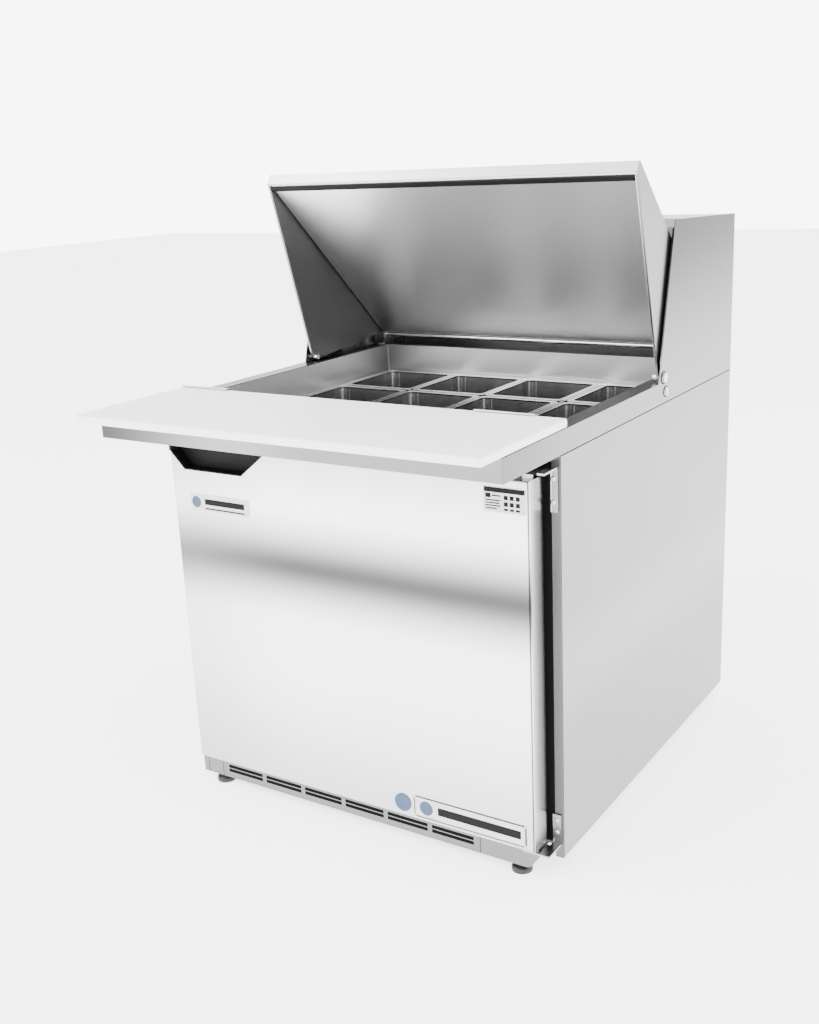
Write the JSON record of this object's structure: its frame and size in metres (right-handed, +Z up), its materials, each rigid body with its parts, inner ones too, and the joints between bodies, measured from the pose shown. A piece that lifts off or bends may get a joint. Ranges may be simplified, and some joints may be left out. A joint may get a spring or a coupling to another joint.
{
  "type": "sandwich prep table",
  "caption": "One-door refrigerated sandwich prep table with a lift-out pan rail, cutting board and swing-up insulated lid.",
  "frame": {"origin": "centre of the overall footprint, on the floor", "axes": "+Z up, the door and cutting board face -Y, +X to the right of a person standing at the front facing +Y"},
  "size_m": [0.745, 0.967, 1.0681],
  "materials": {
    "aluminium_fin": "plain fin stock",
    "black_painted": "black enamel",
    "black_plastic": "moulded black plastic",
    "black_rubber": "soft black rubber",
    "clear_tube": "flexible vinyl tube",
    "coated_wire": "white coated wire",
    "copper": "drawn copper tube",
    "foam": "rigid polyurethane foam",
    "galvanised": "galvanised steel",
    "grey_gasket": "soft grey vinyl",
    "inner_liner": "stucco aluminium sheet",
    "pan_steel": "satin drawn stainless steel",
    "stainless_bright": "bright stainless steel",
    "stainless_panel": "satin brushed stainless steel",
    "white_board": "fine-textured polyethylene",
    "white_plastic": "moulded nylon"
  },
  "bodies": {
    "cabinet": {"back_panel": "galvanised", "base_grille": "stainless_panel", "base_rails": "galvanised", "board_clips": "stainless_bright", "bottom_panel": "galvanised", "cabinet_insulation": "foam", "compressor": "black_painted", "condenser_coil": "aluminium_fin", "condenser_shroud": "galvanised", "control_box": "black_painted", "drain_tube": "clear_tube", "evaporator_coil": "aluminium_fin", "evaporator_housing": "white_plastic", "fan_motors": "black_painted", "front_frame": "stainless_panel", "hinge_brackets": "stainless_bright", "hood_panel": "stainless_panel", "interior_liner": "inner_liner", "levelling_feet": "galvanised", "lid_stop_bar": "stainless_bright", "pan_divider_bars": "stainless_bright", "refrigerant_lines": "copper", "shelf_supports": "galvanised", "side_panel_left": "stainless_panel", "side_panel_right": "stainless_panel", "unit_tray": "galvanised", "well_liner": "stainless_panel", "wing_bolts": "stainless_bright", "wing_left": "stainless_panel", "wing_right": "stainless_panel", "wing_seal_plates": "black_plastic", "wire_shelves": "coated_wire", "worktop_frame": "stainless_panel"},
    "door": {"door_skin": "stainless_panel", "door_liner": "white_plastic", "door_insulation": "foam", "door_gasket": "grey_gasket", "handle_insert": "black_plastic", "hinge_bushings": "white_plastic"},
    "lid": {"lid_top_skin": "stainless_panel", "lid_sides": "stainless_panel", "lid_inner_liner": "stainless_panel", "lid_insulation": "foam", "lid_gasket": "black_rubber"},
    "cutting_board": {"cutting_board": "white_board"},
    "condenser_fan": {"condenser_fan": "black_plastic"},
    "evaporator_fan": {"evaporator_fan": "black_plastic"},
    "thermostat_knob": {"thermostat_knob": "white_plastic"},
    "pan_a1": {"pan_a1": "pan_steel"},
    "pan_a2": {"pan_a2": "pan_steel"},
    "pan_a3": {"pan_a3": "pan_steel"},
    "pan_a4": {"pan_a4": "pan_steel"},
    "pan_b1": {"pan_b1": "pan_steel"},
    "pan_b2": {"pan_b2": "pan_steel"},
    "pan_b3": {"pan_b3": "pan_steel"},
    "pan_b4": {"pan_b4": "pan_steel"},
    "pan_c1": {"pan_c1": "pan_steel"},
    "pan_c2": {"pan_c2": "pan_steel"},
    "pan_c3": {"pan_c3": "pan_steel"},
    "pan_c4": {"pan_c4": "pan_steel"}
  },
  "joints": [
    {"name": "door_hinge", "type": "hinge", "parent": "cabinet", "child": "door", "pos_m": [0.3335, -0.292, 0.35], "axis": [0, 0, 1], "range_deg": [0, 115]},
    {"name": "lid_pivot", "type": "hinge", "parent": "cabinet", "child": "lid", "pos_m": [0, 0.137, 0.717], "axis": [-1, 0, 0], "range_deg": [-73, 0]},
    {"name": "board_slide", "type": "slide", "parent": "cabinet", "child": "cutting_board", "axis": [0, -1, 0], "range_m": [0, 0.06]},
    {"name": "condenser_fan_spin", "type": "hinge", "parent": "cabinet", "child": "condenser_fan", "pos_m": [0.146, 0.37, 0.135], "axis": [1, 0, 0], "continuous": true},
    {"name": "evaporator_fan_spin", "type": "hinge", "parent": "cabinet", "child": "evaporator_fan", "pos_m": [0, 0.268, 0.44], "axis": [0, -1, 0], "continuous": true},
    {"name": "thermostat_turn", "type": "hinge", "parent": "cabinet", "child": "thermostat_knob", "pos_m": [0.16, 0.24, 0.44], "axis": [0, -1, 0], "range_deg": [0, 270]},
    {"name": "pan_a1_lift", "type": "slide", "parent": "cabinet", "child": "pan_a1", "axis": [0, 0, 1], "range_m": [0, 0.11]},
    {"name": "pan_a2_lift", "type": "slide", "parent": "cabinet", "child": "pan_a2", "axis": [0, 0, 1], "range_m": [0, 0.11]},
    {"name": "pan_a3_lift", "type": "slide", "parent": "cabinet", "child": "pan_a3", "axis": [0, 0, 1], "range_m": [0, 0.11]},
    {"name": "pan_a4_lift", "type": "slide", "parent": "cabinet", "child": "pan_a4", "axis": [0, 0, 1], "range_m": [0, 0.11]},
    {"name": "pan_b1_lift", "type": "slide", "parent": "cabinet", "child": "pan_b1", "axis": [0, 0, 1], "range_m": [0, 0.11]},
    {"name": "pan_b2_lift", "type": "slide", "parent": "cabinet", "child": "pan_b2", "axis": [0, 0, 1], "range_m": [0, 0.11]},
    {"name": "pan_b3_lift", "type": "slide", "parent": "cabinet", "child": "pan_b3", "axis": [0, 0, 1], "range_m": [0, 0.11]},
    {"name": "pan_b4_lift", "type": "slide", "parent": "cabinet", "child": "pan_b4", "axis": [0, 0, 1], "range_m": [0, 0.11]},
    {"name": "pan_c1_lift", "type": "slide", "parent": "cabinet", "child": "pan_c1", "axis": [0, 0, 1], "range_m": [0, 0.07]},
    {"name": "pan_c2_lift", "type": "slide", "parent": "cabinet", "child": "pan_c2", "axis": [0, 0, 1], "range_m": [0, 0.07]},
    {"name": "pan_c3_lift", "type": "slide", "parent": "cabinet", "child": "pan_c3", "axis": [0, 0, 1], "range_m": [0, 0.07]},
    {"name": "pan_c4_lift", "type": "slide", "parent": "cabinet", "child": "pan_c4", "axis": [0, 0, 1], "range_m": [0, 0.07]}
  ]
}
